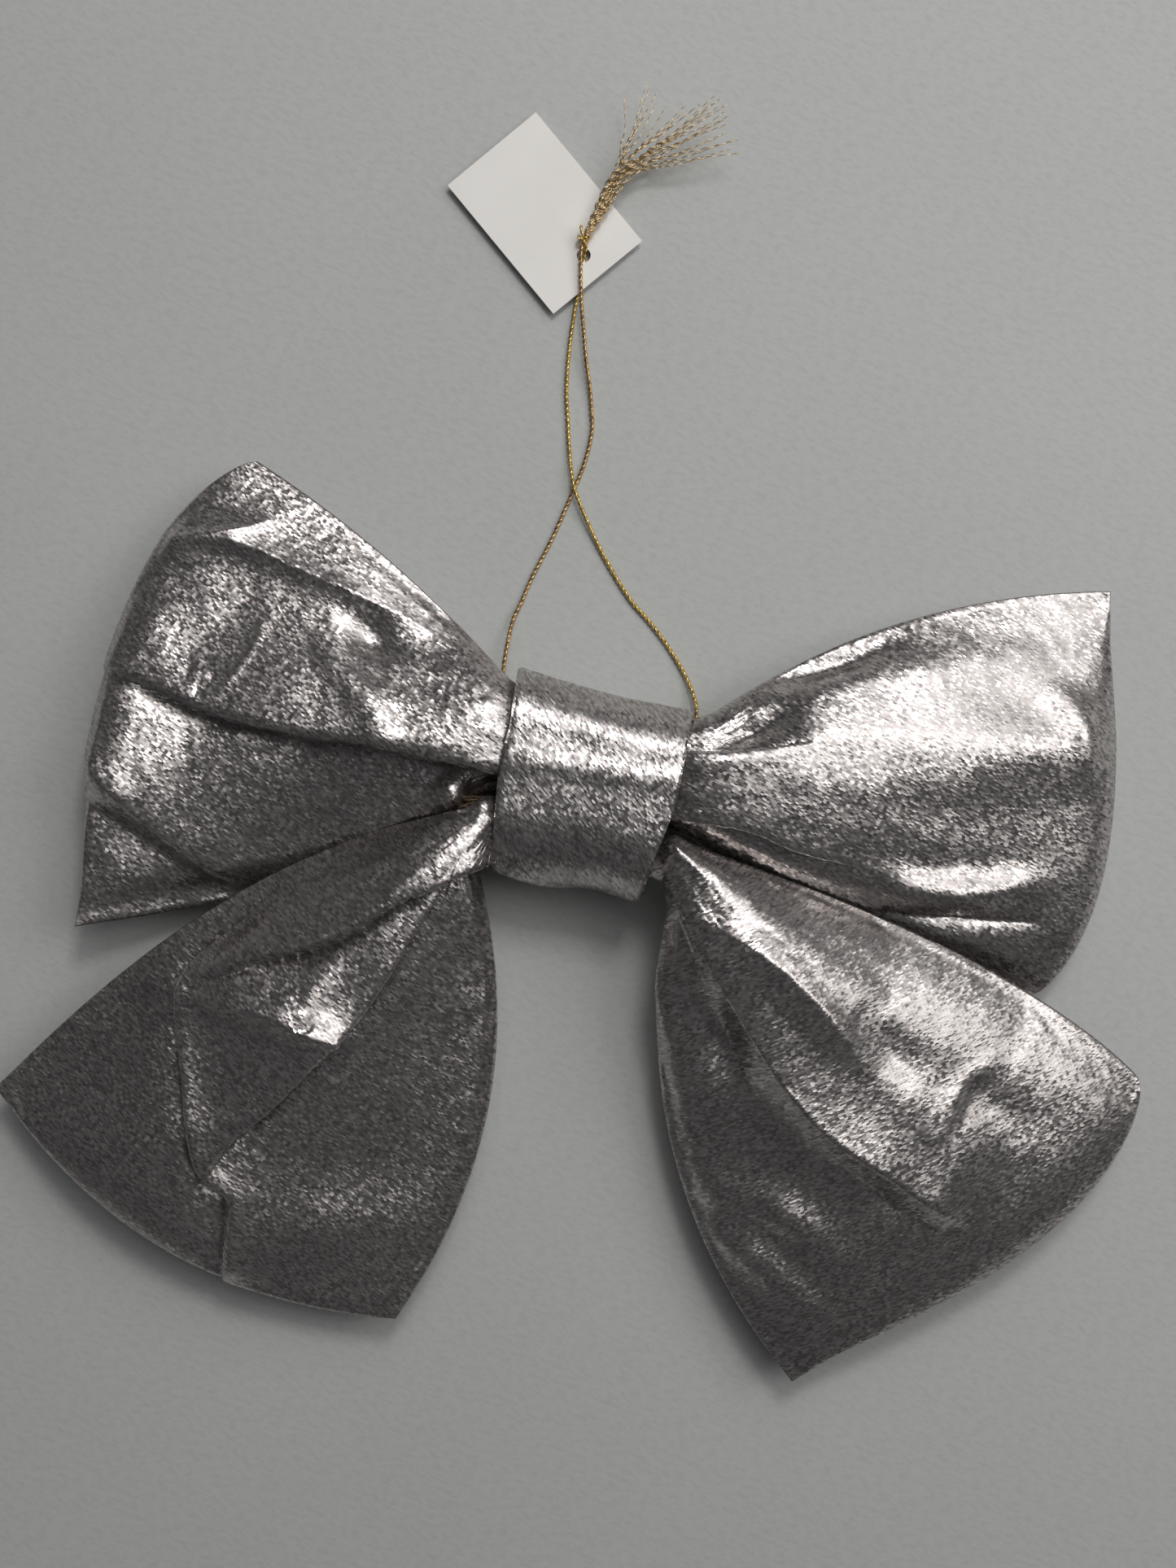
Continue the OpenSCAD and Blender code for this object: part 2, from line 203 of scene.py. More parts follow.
def satin(name, turn, tone):
    """Lame satin: short metal floats in a diagonal twill, each tilted a little its own way."""
    n = Nodes(name)
    floats = n.add("ShaderNodeTexVoronoi", voronoi_dimensions="2D", feature="F1")
    floats.inputs["Scale"].default_value = 1.0
    floats.inputs["Randomness"].default_value = DASH_SCATTER
    weave = n.coordinates((1 / DASH_LENGTH, 1 / DASH_PITCH, 1), turn)
    n.link(weave, floats.inputs["Vector"])
    tilt = n.vector("SUBTRACT", floats.outputs["Color"], (0.5, 0.5, 0.5))
    tilt = n.vector("SCALE", tilt, scale=DASH_TILT)
    twill = n.bump(floats.outputs["Distance"], 0.05 * MM, 0.35)
    leaning = n.vector("NORMALIZE", n.vector("ADD", twill, tilt))
    n.link(leaning, n.shader.inputs["Normal"])
    broad = n.noise(n.coordinates(), 28, 3, 0.55)
    shade = n.ramp(broad.outputs["Fac"], (0.3, tuple(0.80 * c for c in tone)), (0.7, tone))
    split = n.add("ShaderNodeSeparateColor")
    n.link(floats.outputs["Color"], split.inputs["Color"])
    grain = n.spread(split.outputs["Red"], *DASH_SHADES)
    worn = n.mix(1.0, shade, grain, "MULTIPLY")
    n.link(worn, n.shader.inputs["Base Color"])
    rough = n.spread(split.outputs["Green"], *DASH_ROUGHNESS)
    n.link(rough, n.shader.inputs["Roughness"])
    n.shader.inputs["Metallic"].default_value = 0.92
    return n.material


def metal_thread(name, light, dark, roughness):
    """Metallised yarn with darker flecks."""
    n = Nodes(name)
    spots = n.noise(n.coordinates(), 1400, 2, 0.6)
    n.link(n.ramp(spots.outputs["Fac"], (0.35, dark), (0.62, light)), n.shader.inputs["Base Color"])
    n.link(n.bump(spots.outputs["Fac"], 0.04 * MM, 0.5), n.shader.inputs["Normal"])
    n.shader.inputs["Metallic"].default_value = 0.85
    n.shader.inputs["Roughness"].default_value = roughness
    return n.material


def dull_thread(name, light, dark):
    """Cotton or polyester yarn without a shine."""
    n = Nodes(name)
    spots = n.noise(n.coordinates(), 1100, 3, 0.6)
    n.link(n.ramp(spots.outputs["Fac"], (0.3, dark), (0.7, light)), n.shader.inputs["Base Color"])
    n.link(n.bump(spots.outputs["Fac"], 0.05 * MM, 0.5), n.shader.inputs["Normal"])
    n.shader.inputs["Roughness"].default_value = 0.8
    return n.material


def card(name):
    """Smooth uncoated card with faint fibres."""
    n = Nodes(name)
    cloud = n.noise(n.coordinates(), 60, 4, 0.6)
    n.link(n.ramp(cloud.outputs["Fac"], (0.3, (0.88, 0.86, 0.83)), (0.7, (0.93, 0.91, 0.88))),
           n.shader.inputs["Base Color"])
    fibres = n.noise(n.coordinates((1, 3, 1), 0.6), 900, 3, 0.7)
    n.link(n.bump(fibres.outputs["Fac"], 0.02 * MM, 0.4), n.shader.inputs["Normal"])
    n.shader.inputs["Roughness"].default_value = 0.62
    return n.material


def table_top(name):
    """A pale grey board with a faint fibrous mottle."""
    n = Nodes(name)
    fibres = n.noise(n.coordinates((1, 2.2, 1), 0.4), 420, 5, 0.65, 0.4)
    broad = n.noise(n.coordinates(), 9, 3, 0.5)
    pale = n.ramp(fibres.outputs["Fac"], (0.36, (0.475, 0.485, 0.475)), (0.56, (0.535, 0.545, 0.535)))
    cloudy = n.ramp(broad.outputs["Fac"], (0.3, (0.46, 0.47, 0.46)), (0.7, (0.55, 0.56, 0.55)))
    n.link(n.mix(0.25, pale, cloudy), n.shader.inputs["Base Color"])
    n.link(n.bump(fibres.outputs["Fac"], 0.06 * MM, 0.35), n.shader.inputs["Normal"])
    n.shader.inputs["Roughness"].default_value = 0.75
    return n.material


# ---------- mesh helpers ----------


def mesh_object(name, points, faces, material=None):
    """A smooth-shaded object made of points in metres and faces."""
    mesh = bpy.data.meshes.new(name)
    mesh.from_pydata([tuple(p) for p in points], [], [tuple(f) for f in faces])
    mesh.validate()
    mesh.shade_smooth()
    if material:
        mesh.materials.append(material)
    piece = bpy.data.objects.new(name, mesh)
    bpy.context.scene.collection.objects.link(piece)
    return piece


def lerp(a, b, t):
    return a + (b - a) * t


def smoothstep(t):
    t = np.clip(t, 0, 1)
    return t * t * (3 - 2 * t)


def turned(x, y, degrees):
    """A plan position turned about Z."""
    c, s = math.cos(math.radians(degrees)), math.sin(math.radians(degrees))
    return x * c - y * s, x * s + y * c


def spline(points, spacing):
    """Points about spacing apart on the smooth curve through a route."""
    p = np.array(points, float)
    found = []
    for i in range(len(p) - 1):
        a, b, c, d = p[max(0, i - 1)], p[i], p[i + 1], p[min(len(p) - 1, i + 2)]
        steps = max(1, math.ceil(np.linalg.norm(c - b) / spacing))
        for t in np.arange(steps) / steps:
            found.append(0.5 * (2 * b + (c - a) * t + (2 * a - 5 * b + 4 * c - d) * t ** 2
                                + (3 * b - a - 3 * c + d) * t ** 3))
    return np.array(found + [p[-1]])


def frames_along(path):
    """The two directions across a path at each point, with no twist between them."""
    tangent = np.gradient(path, axis=0)
    tangent /= np.linalg.norm(tangent, axis=1)[:, None]
    side = np.cross(tangent[0], (0, 0, 1.0))
    if np.linalg.norm(side) < 1e-6:
        side = np.cross(tangent[0], (0, 1.0, 0))
    sides = []
    for t in tangent:
        side = side - t * (side @ t)
        side = side / np.linalg.norm(side)
        sides.append(side)
    sides = np.array(sides)
    return sides, np.cross(tangent, sides)


def tube_parts(path, radius, sides=8):
    """Points and faces of a round tube with closed ends; radius is a number or one for each point."""
    across, up = frames_along(path)
    radius = np.broadcast_to(radius, len(path))[:, None, None]
    angle = 2 * np.pi * (np.arange(sides) + 0.5) / sides
    ring = np.cos(angle)[None, :, None] * across[:, None] + np.sin(angle)[None, :, None] * up[:, None]
    points = (path[:, None] + radius * ring).reshape(-1, 3)
    last = (len(path) - 1) * sides
    faces = [(i + j, i + (j + 1) % sides, i + sides + (j + 1) % sides, i + sides + j)
             for i in range(0, last, sides) for j in range(sides)]
    faces += [tuple(range(sides - 1, -1, -1)), tuple(range(last, last + sides))]
    return points, faces


def joined(parts):
    """One list of points and one of faces from several."""
    points, faces, start = [], [], 0
    for p, f in parts:
        points.append(p)
        faces += [tuple(start + k for k in face) for face in f]
        start += len(p)
    return np.concatenate(points), faces


def length_of(path):
    """Length along a path."""
    return float(np.linalg.norm(np.diff(path, axis=0), axis=1).sum())


# ---------- cord ----------

PLY_R = 0.29 * MM
PLY_OFFSET = 0.235 * MM
PLY_PITCH = 2.7 * MM
CORD_STEP = 0.28 * MM
KNOT_TURN = -11

# Routes of the cord in metres: through the knot, before the knot's turn, and then the two strands
CORD_IN_KNOT = [
    (-0.0244, 0.0292, 0.0025), (-0.0243, 0.024, 0.0026), (-0.0238, 0.019, 0.0029),
    (-0.0231, 0.0145, 0.0033), (-0.0214, 0.0106, 0.0038), (-0.018, 0.0085, 0.0041),
    (-0.012, 0.008, 0.0042), (0, 0.008, 0.0042), (0.012, 0.008, 0.0042), (0.018, 0.0086, 0.0041),
    (0.0212, 0.0114, 0.0036), (0.0219, 0.0165, 0.003), (0.0212, 0.0218, 0.0025)]
LEFT_STRAND = [
    (-0.0184, 0.0333, 0.0025), (-0.0173, 0.038, 0.0014), (-0.0154, 0.0422, 0.0007),
    (-0.0129, 0.048, 0.00055), (-0.0082, 0.0571, 0.00055), (-0.0033, 0.0682, 0.00055),
    (-0.0006, 0.075, 0.00055), (0.0009, 0.0818, 0.00055), (0.0008, 0.086, 0.00055),
    (0.0004, 0.0916, 0.001), (-0.0005, 0.098, 0.002), (-0.001, 0.104, 0.00275), (-0.0015, 0.110, 0.0029),
    (-0.0017, 0.116, 0.003), (-0.0017, 0.121, 0.0034), (-0.0015, 0.1239, 0.0039)]
RIGHT_STRAND = [
    (0.025, 0.0173, 0.0025), (0.0243, 0.0205, 0.0017), (0.0224, 0.0252, 0.0008),
    (0.0186, 0.0316, 0.00055), (0.0142, 0.0375, 0.00055), (0.0101, 0.0422, 0.00055),
    (0.0063, 0.048, 0.00055), (0.0018, 0.0563, 0.0008), (-0.0018, 0.0644, 0.0017),
    (-0.0035, 0.0695, 0.00175), (-0.0043, 0.0767, 0.0008), (-0.0047, 0.084, 0.00055),
    (-0.005, 0.0916, 0.00055), (-0.0044, 0.1003, 0.00055), (-0.0032, 0.109, 0.00055),
    (-0.002, 0.1155, 0.00055), (-0.0013, 0.1194, 0.0006), (-0.001, 0.1214, 0.0012),
    (-0.0008, 0.1226, 0.0021), (-0.0004, 0.1239, 0.0032)]


def twisted_parts(path, ply_r=PLY_R, offset=PLY_OFFSET, pitch=PLY_PITCH):
    """Two plies twisted round a path."""
    across, up = frames_along(path)
    along = np.concatenate([[0], np.cumsum(np.linalg.norm(np.diff(path, axis=0), axis=1))])
    parts = []
    for start in (0, math.pi):
        angle = (2 * math.pi * along / pitch + start)[:, None]
        parts.append(tube_parts(path + offset * (np.cos(angle) * across + np.sin(angle) * up), ply_r, 8))
    return joined(parts)


def make_cord(name, route, material):
    """A two-ply cord along a route, and its path."""
    path = spline(route, CORD_STEP)
    points, faces = twisted_parts(path)
    return mesh_object(name, points, faces, material), path


gold = metal_thread("bright_gold_thread", (0.86, 0.66, 0.27), (0.42, 0.27, 0.08), 0.28)
old_gold = metal_thread("brown_gold_thread", (0.70, 0.50, 0.25), (0.30, 0.18, 0.09), 0.32)

left_strand, left_path = make_cord("left_cord", LEFT_STRAND, old_gold)
right_strand, right_path = make_cord("right_cord", RIGHT_STRAND, gold)
inner_route = [(*turned(x, y, KNOT_TURN), z) for x, y, z in CORD_IN_KNOT]
inner_cord, _ = make_cord("cord_through_knot", inner_route, old_gold)

# ---------- knot of the cord and its frayed ends ----------

CORD_KNOT_AT = np.array([-1.0, 125.0, 3.7])
CORD_KNOT_SIZE = 0.62
TIGHT_PITCH = 2.2 * MM


def make_cord_knot():
    """An overhand knot pulled tight: one crossing loop of the twisted cord, with a short cut stub."""
    t = np.linspace(0, 2 * math.pi, 90)
    loops = np.stack([np.sin(t) + 1.1 * np.sin(2 * t), np.cos(t) - 1.1 * np.cos(2 * t),
                      -0.9 * np.sin(3 * t)], axis=1)
    path = (CORD_KNOT_AT + loops * CORD_KNOT_SIZE) * MM
    stub = spline(np.array([(-1.1, 125.6, 4.1), (-1.6, 127.2, 4.5), (-1.5, 128.3, 4.4)]) * MM, 0.2 * MM)
    parts = [twisted_parts(path, 0.26 * MM, 0.2 * MM, TIGHT_PITCH),
             twisted_parts(stub, 0.2 * MM, 0.16 * MM, TIGHT_PITCH)]
    points, faces = joined(parts)
    return mesh_object("overhand_knot", points, faces, gold)


TASSEL_NECK = np.array([7.0, 139.0, 4.4])
TASSEL_CRIMP = 0.30
TASSEL_RADII = (0.19, 0.15, 0.085)
TASSEL_TIPS = [
    (8.1, 158.2, 5.6), (13.4, 160.0, 6.6), (13.9, 159.0, 6.0), (15.9, 158.2, 6.4), (15.2, 155.0, 5.6),
    (19.5, 151.5, 5.8), (22.2, 154.6, 7.0), (21.6, 153.2, 6.2), (25.5, 154.8, 7.4), (28.8, 156.5, 8.0),
    (28.2, 155.0, 7.2), (30.1, 155.8, 8.2), (29.6, 154.2, 7.4), (31.8, 154.5, 8.4), (31.0, 153.0, 7.6),
    (32.7, 152.2, 8.4), (30.7, 151.1, 7.4), (32.0, 150.2, 7.9), (31.5, 148.4, 7.0), (34.2, 146.5, 7.8),
    (33.2, 146.8, 7.0), (34.9, 143.9, 6.9), (32.6, 145.0, 6.3), (29.0, 147.4, 6.0), (27.0, 150.4, 6.2),
    (24.0, 151.6, 6.0), (17.8, 154.6, 6.2), (26.6, 152.9, 6.8)]


def make_tassel():
    """Frayed strands, crimped where they were twisted, that fan out flat."""
    random = np.random.default_rng(5)
    parts = []
    for tip in TASSEL_TIPS:
        tip = np.array(tip)
        start = CORD_KNOT_AT + random.normal(0, 0.28, 3) + (0.5, 0.8, 0.3)
        neck = TASSEL_NECK + np.append(random.normal(0, 0.75, 2), random.uniform(-0.9, 0.9))
        early = lerp(start, neck, 0.5) + np.append(random.normal(0, 0.42, 2), random.uniform(-0.3, 0.3))
        far = lerp(neck, tip, 0.55) + np.append(random.normal(0, 0.5, 2), 0.3)
        bend = np.array([0.16 * (far[1] - neck[1]), -0.10 * (far[0] - neck[0]), 0])
        path = spline([start, early, neck, lerp(neck, far, 0.6) - 0.35 * bend, far, tip], 0.35)
        across, up = frames_along(path)
        t = np.linspace(0, 1, len(path))
        crimp = TASSEL_CRIMP * np.clip(1.15 - t, 0.12, 1)[:, None]
        turns = 2 * math.pi * t[:, None] * length_of(path) / random.uniform(1.9, 2.8) + random.uniform(0, 6.3)
        path = path + crimp * (np.cos(turns) * across + np.sin(turns) * up)
        radius = np.interp(t, [0, 0.55, 1], TASSEL_RADII)
        parts.append(tube_parts(path * MM, radius * MM, 5))
    points, faces = joined(parts)
    return mesh_object("tassel", points, faces, tassel_gold)


tassel_gold = metal_thread("frayed_gold_thread", (0.82, 0.66, 0.42), (0.45, 0.32, 0.17), 0.40)
overhand_knot = make_cord_knot()
tassel = make_tassel()

# ---------- tag ----------

TAG_HOLE = (-1.0, 122.0)
TAG_Z, TAG_CARD = 1.5, 0.4
TAG_WIDTH, TAG_LENGTH, TAG_SIDE, TAG_HEAD, TAG_TURN = 26.5, 38.5, 14.0, 6.0, 39.5
TAG_HOLE_R = 1.6
TAG_SOFT_EDGE = 0.07


def make_tag():
    """A cut card with softened edges and a punched hole."""
    outline = bpy.data.curves.new("tag_outline", "CURVE")
    outline.dimensions = "2D"
    outline.fill_mode = "BOTH"
    outline.extrude = (TAG_CARD / 2 - TAG_SOFT_EDGE) * MM
    outline.bevel_depth = TAG_SOFT_EDGE * MM
    outline.bevel_resolution = 2
    outline.offset = -TAG_SOFT_EDGE * MM
    corners = [(-TAG_SIDE, -TAG_HEAD), (TAG_WIDTH - TAG_SIDE, -TAG_HEAD),
               (TAG_WIDTH - TAG_SIDE, TAG_LENGTH - TAG_HEAD), (-TAG_SIDE, TAG_LENGTH - TAG_HEAD)]
    angles = np.linspace(0, 2 * math.pi, 49)[:-1]
    hole = [(TAG_HOLE_R * math.cos(a), TAG_HOLE_R * math.sin(a)) for a in angles]
    for ring in (corners, hole):
        line = outline.splines.new("POLY")
        line.points.add(len(ring) - 1)
        for point, (x, y) in zip(line.points, ring):
            x, y = turned(x, y, TAG_TURN)
            point.co = ((x + TAG_HOLE[0]) * MM, (y + TAG_HOLE[1]) * MM, 0, 1)
        line.use_cyclic_u = True
    solid = bpy.data.objects.new("tag_solid", outline)
    solid.location.z = (TAG_Z + TAG_CARD / 2) * MM
    bpy.context.scene.collection.objects.link(solid)
    bpy.context.view_layer.update()
    mesh = bpy.data.meshes.new_from_object(solid.evaluated_get(bpy.context.evaluated_depsgraph_get()))
    mesh.transform(solid.matrix_world)
    bpy.data.objects.remove(solid)
    mesh.materials.clear()
    mesh.materials.append(card("white_card"))
    sealed = bmesh.new()
    sealed.from_mesh(mesh)
    bmesh.ops.remove_doubles(sealed, verts=sealed.verts, dist=0.004 * MM)
    sealed.to_mesh(mesh)
    sealed.free()
    card_piece = bpy.data.objects.new("blank_tag", mesh)
    bpy.context.scene.collection.objects.link(card_piece)
    return card_piece


tag = make_tag()

# ---------- wings ----------

# Sizes of the wings are in millimetres. u runs from the knot to the outer fold, and v from the bottom
# edge to the top. The rows at NECK_X are the gathered end inside the knot.
ROWS, COLUMNS = 72, 56
FINE = 3
GATHER_X = 20.6
NECK_X = (2.5, 5.0, 8.0, 11.0, 14.0, 17.5)
NECK_FILL = 0.95
KNOT_LEAD = 0.045
CROWN_POWER = 2.4
FOLD_START = 0.90
BACK_LOFT = 6.0
FOLD_DEPTH = 6.5


def arch(t, peak):
    """1 at the peak of a bow and 0 at both ends."""
    t = np.clip(t, 0, 1)
    return (t / peak) ** (2 * peak) * ((1 - t) / (1 - peak)) ** (2 * (1 - peak))


def edge(a, b, bow, peak, t, lead=0.0):
    """A point on a bowed edge from a to b, whose bow starts at lead."""
    a, b = np.array(a, float), np.array(b, float)
    across = np.array([a[1] - b[1], b[0] - a[0]]) / np.linalg.norm(b - a)
    t = np.asarray(t)[..., None]
    return a + (b - a) * t + across * bow * arch((t - lead) / (1 - lead), peak)


def wing_plan(w, u, v):
    """Plan of a wing, filled in between its four bowed edges."""
    low = np.array(turned(w.side * GATHER_X, w.gather[0], KNOT_TURN))
    high = np.array(turned(w.side * GATHER_X, w.gather[1], KNOT_TURN))
    top_edge = edge(high, w.top, w.side * w.bows[0], w.peaks[0], u, KNOT_LEAD)
    fold = edge(w.low, w.top, -w.side * w.bows[1], w.peaks[1], v)
    low_edge = edge(low, w.low, -w.side * w.bows[2], w.peaks[2], u, KNOT_LEAD)
    u, v = u[..., None], v[..., None]
    flat = lerp(lerp(low, np.array(w.low), u), lerp(high, np.array(w.top), u), v)
    return lerp(low_edge, top_edge, v) + lerp(lerp(low, high, v), fold, u) - flat


def profile(v, stops):
    """Fullness across a wing read from (v, fullness) stops, with the corners slightly rounded."""
    places, fullness = np.array(stops, float).T
    spread = np.linspace(-0.03, 0.03, 7)
    return np.mean([np.interp(v + step, places, fullness) for step in spread], axis=0)


def crown(v, power=0.5):
    """Fullness across a wing: round where power is 0.5, and lens-shaped with crisp seams nearer 1."""
    return np.clip(1 - np.abs(2 * v - 1) ** CROWN_POWER, 0, 1) ** power


def along_edge(heights, u):
    """Height along an edge, smooth through values at equal steps from the knot to the fold."""
    t = np.clip(u, 0, 1) * (len(heights) - 1)
    i = np.minimum(t.astype(int), len(heights) - 2)
    h = np.array(heights, float)
    return lerp(h[i], h[i + 1], smoothstep(t - i) * 0.5 + (t - i) * 0.5)


def wing_sheets(w):
    """Front and back of a wing as grids of points in millimetres, and their u and v."""
    t = np.linspace(0, 1, ROWS - len(NECK_X))
    u_out = 1 - (1 - t) ** 1.25
    s = np.linspace(0, 1, COLUMNS)
    v_row = 0.55 * s + 0.45 * (1 - np.cos(math.pi * s)) / 2
    u, v = np.meshgrid(u_out, v_row, indexing="ij")
    plan = wing_plan(w, u, v)
    seam = lerp(along_edge(w.low_z, u), along_edge(w.top_z, u), v)
    rounding = np.sqrt(np.clip(1 - (np.maximum(0, u - FOLD_START) / (1 - FOLD_START)) ** 2, 0, 1))
    half = lerp(w.gather[3] * NECK_FILL, FOLD_DEPTH, u)
    shaped = lerp(crown(v), profile(v, w.profile) * crown(v, 0.12), smoothstep(u / 0.30))
    front = seam + rounding * (half + w.loft * arch(u, 0.42)) * shaped
    flattened = lerp(1, smoothstep((1 - v) / 0.4), w.flat_back * smoothstep(u / 0.1))
    back_half = (half + BACK_LOFT * arch(u, 0.45)) * flattened
    back = np.maximum(0.25, seam - rounding * back_half * crown(v))
    sheets = [np.concatenate([plan, z[..., None]], axis=2) for z in (front, back)]
    necks = [[], []]
    for x in NECK_X:
        squeeze = lerp(0.80, 0.95, (x - 2.5) / 18)
        mid, wide = (w.gather[0] + w.gather[1]) / 2, (w.gather[1] - w.gather[0]) / 2 * squeeze
        across = mid + wide * (2 * v_row - 1)
        px, py = turned(w.side * x, across, KNOT_TURN)
        rise = w.gather[3] * squeeze * NECK_FILL * crown(v_row)
        for side, rows in zip((1, -1), necks):
            rows.append(np.stack([px, py, w.gather[2] + side * rise], axis=1))
    grids = [np.concatenate([np.array(rows), sheet]) for rows, sheet in zip(necks, sheets)]
    u_all = np.concatenate([np.repeat(np.array(NECK_X)[:, None] / GATHER_X - 1, COLUMNS, axis=1) * 0.15, u])
    v_all = np.concatenate([np.repeat(v_row[None], len(NECK_X), axis=0), v])
    return grids[0], grids[1], u_all, v_all


def pouch_parts(front, back):
    """Points and faces of the closed pouch between two grids that share their edges."""
    rows, columns = front.shape[:2]
    index = np.arange(rows * columns).reshape(rows, columns)
    inside = np.zeros((rows, columns), bool)
    inside[:-1, 1:-1] = True
    under = index.copy()
    under[inside] = rows * columns + np.arange(inside.sum())
    points = np.concatenate([front.reshape(-1, 3), back[inside]])

    def quads(grid, flip):
        a, b, c, d = grid[:-1, :-1], grid[1:, :-1], grid[1:, 1:], grid[:-1, 1:]
        order = (a, d, c, b) if flip else (a, b, c, d)
        return np.stack([k.ravel() for k in order], axis=1)

    faces = np.concatenate([quads(index, False), quads(under, True)]).tolist()
    for j in range(1, columns - 2):
        faces.append([index[0, j], index[0, j + 1], under[0, j + 1], under[0, j]])
    faces.append([index[0, 0], index[0, 1], under[0, 1]])
    faces.append([index[0, -1], under[0, -2], index[0, -2]])
    return points, faces, index, under


def finer(grid, times):
    """A grid with its points on smooth curves through it, times as close together."""
    if grid.ndim == 2:
        return finer(grid[..., None], times)[..., 0]

    def along(g):
        before, after = 2 * g[:1] - g[1:2], 2 * g[-1:] - g[-2:-1]
        p = np.concatenate([before, g, after])
        a, b, c, d = p[:-3], p[1:-2], p[2:-1], p[3:]
        out = []
        for k in range(times):
            t = k / times
            out.append(0.5 * (2 * b + (c - a) * t + (2 * a - 5 * b + 4 * c - d) * t ** 2
                              + (3 * b - a - 3 * c + d) * t ** 3))
        mixed = np.stack(out, axis=1).reshape(-1, *g.shape[1:])
        return np.concatenate([mixed, g[-1:]])

    return along(along(grid).swapaxes(0, 1)).swapaxes(0, 1)


def gradient_noise(x, y, seed):
    """Smooth noise between about -1 and 1, in cells one unit wide."""
    size = 256
    angle = np.random.default_rng(seed).uniform(0, 2 * math.pi, (size, size))
    gx, gy = np.cos(angle), np.sin(angle)
    i, j = np.floor(x).astype(int), np.floor(y).astype(int)
    fx, fy = x - i, y - j

    def corner(di, dj):
        a, b = (i + di) % size, (j + dj) % size
        return gx[a, b] * (fx - di) + gy[a, b] * (fy - dj)

    sx, sy = smoothstep(fx), smoothstep(fy)
    return 1.5 * lerp(lerp(corner(0, 0), corner(1, 0), sx), lerp(corner(0, 1), corner(1, 1), sx), sy)


def to_line(points, line):
    """Distance of each plan point from a smooth line, positive on its left, and how far along it is."""
    path = spline(line, 1.2)
    along = np.concatenate([[0], np.cumsum(np.linalg.norm(np.diff(path, axis=0), axis=1))])
    flat = points.reshape(-1, 2)
    best = np.full(len(flat), 1e9)
    signed, where = np.zeros(len(flat)), np.zeros(len(flat))
    for k in range(len(path) - 1):
        a, d = path[k], path[k + 1] - path[k]
        rel = flat - a
        t = np.clip(rel @ d / (d @ d), 0, 1)
        off = rel - t[:, None] * d
        far = np.linalg.norm(off, axis=1)
        near = far < best
        best[near] = far[near]
        signed[near] = (far * np.sign(d[0] * rel[:, 1] - d[1] * rel[:, 0]))[near]
        where[near] = ((along[k] + t * np.linalg.norm(d)) / along[-1])[near]
    return signed.reshape(points.shape[:2]), where.reshape(points.shape[:2])


def tuck(line, heights, lip, pocket, depth=0.7):
    """A fold whose left side stands over its right side; heights are at equal steps along it."""
    def shape(points):
        d, t = to_line(points, line)
        h = along_edge(heights, t)
        upper = np.exp(-np.abs(d) / lip) * (1 - 0.40 * np.exp(-np.abs(d) / 0.9))
        lower = -depth * np.exp(-np.abs(d) / pocket)
        return h * np.where(d > 0, upper, lower)
    return shape


def ridge(line, heights, wide):
    """A rounded ridge."""
    def shape(points):
        d, t = to_line(points, line)
        return along_edge(heights, t) * np.exp(-(d / wide) ** 2)
    return shape


def valley(line, heights, left, right):
    """A sharp valley, or a crest where heights are below 0, that fades over its own distance on each side."""
    def shape(points):
        d, t = to_line(points, line)
        return -along_edge(heights, t) * np.exp(-np.abs(d) / np.where(d > 0, left, right))
    return shape


def bump(at, size, height, turn):
    """A rounded rise, or with a height below 0 a dent."""
    def shape(points):
        x, y = turned(points[..., 0] - at[0], points[..., 1] - at[1], -turn)
        return height * np.exp(-(x / size[0]) ** 2 - (y / size[1]) ** 2)
    return shape


